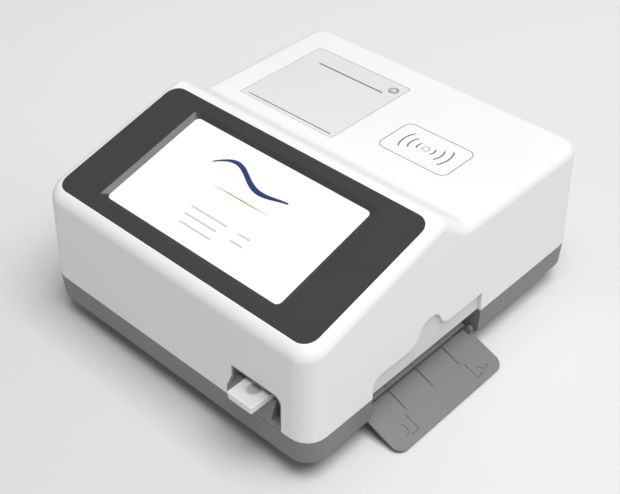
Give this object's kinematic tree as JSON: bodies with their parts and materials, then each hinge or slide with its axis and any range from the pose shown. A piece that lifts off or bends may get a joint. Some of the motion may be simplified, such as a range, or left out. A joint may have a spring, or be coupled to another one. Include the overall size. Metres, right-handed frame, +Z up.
{
  "type": "chemistry analyzer",
  "caption": "Bench-top chemistry analyzer with a sloping touch screen, cassette drawer, fold-down incubator door and a printer under a hinged lid.",
  "frame": {"origin": "centre of the base's flat underside, midway between the sides and between front and back; the rubber feet reach below it", "axes": "+X to the right as seen from the front, +Y from the front (screen and cassette slot) to the back, +Z up"},
  "size_m": [0.2688, 0.2931, 0.1368],
  "materials": {
    "white_abs": "fine even texture, slightly satin",
    "grey_abs": "fine matte texture",
    "charcoal_bezel": "satin",
    "pale_lid": "fine matte texture",
    "dark_moulding": "matte",
    "rubber": "matte",
    "brass": "machined",
    "steel": "rolled sheet and turned",
    "aluminium": "milled",
    "circuit_board": "solder mask",
    "paper": "smooth thermal paper",
    "clear_glass": "polished",
    "display_panel": "smooth"
  },
  "bodies": {
    "housing": {"upper_casing": "white_abs", "screen_bezel": "charcoal_bezel", "touch_glass": "clear_glass", "display_panel": "display_panel", "display_bracket": "steel", "base_tray": "grey_abs", "case_screw_front_left": "steel", "case_screw_rear_left": "steel", "case_screw_front_right": "steel", "case_screw_rear_right": "steel", "foot_front_left": "rubber", "foot_rear_left": "rubber", "foot_front_right": "rubber", "foot_rear_right": "rubber", "door_pin_front": "steel", "door_pin_rear": "steel", "heater_mat": "rubber", "incubator_block": "aluminium", "slot_guide": "grey_abs", "slide_rail": "steel", "drive_chassis": "steel", "drawer_motor": "steel", "optics_bridge": "steel", "optics_head": "dark_moulding", "scan_lens": "clear_glass", "printer_tray": "pale_lid", "print_motor": "steel", "print_head": "charcoal_bezel", "main_board": "circuit_board", "reader_board": "circuit_board", "power_inlet": "charcoal_bezel", "power_switch": "charcoal_bezel", "usb_socket_1": "steel", "usb_socket_2": "steel", "network_socket": "steel"},
    "door": {"incubator_door": "grey_abs"},
    "drawer": {"cassette_carrier": "dark_moulding", "test_cassette": "white_abs"},
    "pinion": {"drawer_pinion": "brass"},
    "lid": {"printer_lid": "pale_lid", "tear_bar": "steel", "lid_pin_left": "steel", "lid_pin_right": "steel"},
    "lid_button_body": {"lid_button": "pale_lid"},
    "platen": {"platen_roller": "rubber", "platen_shaft": "steel", "platen_gear": "dark_moulding"},
    "print_drive": {"print_drive_gear": "dark_moulding"},
    "roll": {"paper_roll": "paper", "roll_core": "white_abs"},
    "rocker": {"power_rocker": "dark_moulding"}
  },
  "joints": [
    {"name": "incubator_door_hinge", "type": "hinge", "parent": "housing", "child": "door", "pos_m": [0.1168, -0.02585, 0.002], "axis": [0, -1, 0], "range_deg": [0, 111.6]},
    {"name": "drawer_slide", "type": "slide", "parent": "housing", "child": "drawer", "axis": [0, 1, 0], "range_m": [0, 0.045]},
    {"name": "pinion_spin", "type": "hinge", "parent": "housing", "child": "pinion", "pos_m": [0.05686, -0.0727, 0.0354], "axis": [0, 0, 1], "range_deg": [-5, 410]},
    {"name": "printer_lid_hinge", "type": "hinge", "parent": "housing", "child": "lid", "pos_m": [-0.0948, 0.0238, 0.1012], "axis": [1, 0, 0], "range_deg": [0, 80]},
    {"name": "lid_button_press", "type": "slide", "parent": "lid", "child": "lid_button_body", "axis": [0, 0, -1], "range_m": [0, 0.0015], "stiffness_N_per_m": 400, "springref_m": -0.0005},
    {"name": "drive_gear_spin", "type": "hinge", "parent": "housing", "child": "print_drive", "pos_m": [-0.0879, 0.0848, 0.0834], "axis": [1, 0, 0], "continuous": true},
    {"name": "platen_spin", "type": "hinge", "parent": "lid", "child": "platen", "pos_m": [-0.04965, 0.0848, 0.093], "axis": [1, 0, 0], "continuous": true},
    {"name": "paper_roll_spin", "type": "hinge", "parent": "housing", "child": "roll", "pos_m": [-0.04965, 0.0483, 0.0757], "axis": [1, 0, 0], "continuous": true},
    {"name": "power_rocker_tilt", "type": "hinge", "parent": "housing", "child": "rocker", "pos_m": [-0.092, 0.13815, 0.038], "axis": [0, 0, 1], "range_deg": [0, 18]}
  ],
  "couplings": [
    {"joint": "pinion_spin", "follows": "drawer_slide", "rad_per_m": 156.25},
    {"joint": "drive_gear_spin", "follows": "platen_spin", "ratio": -1}
  ]
}
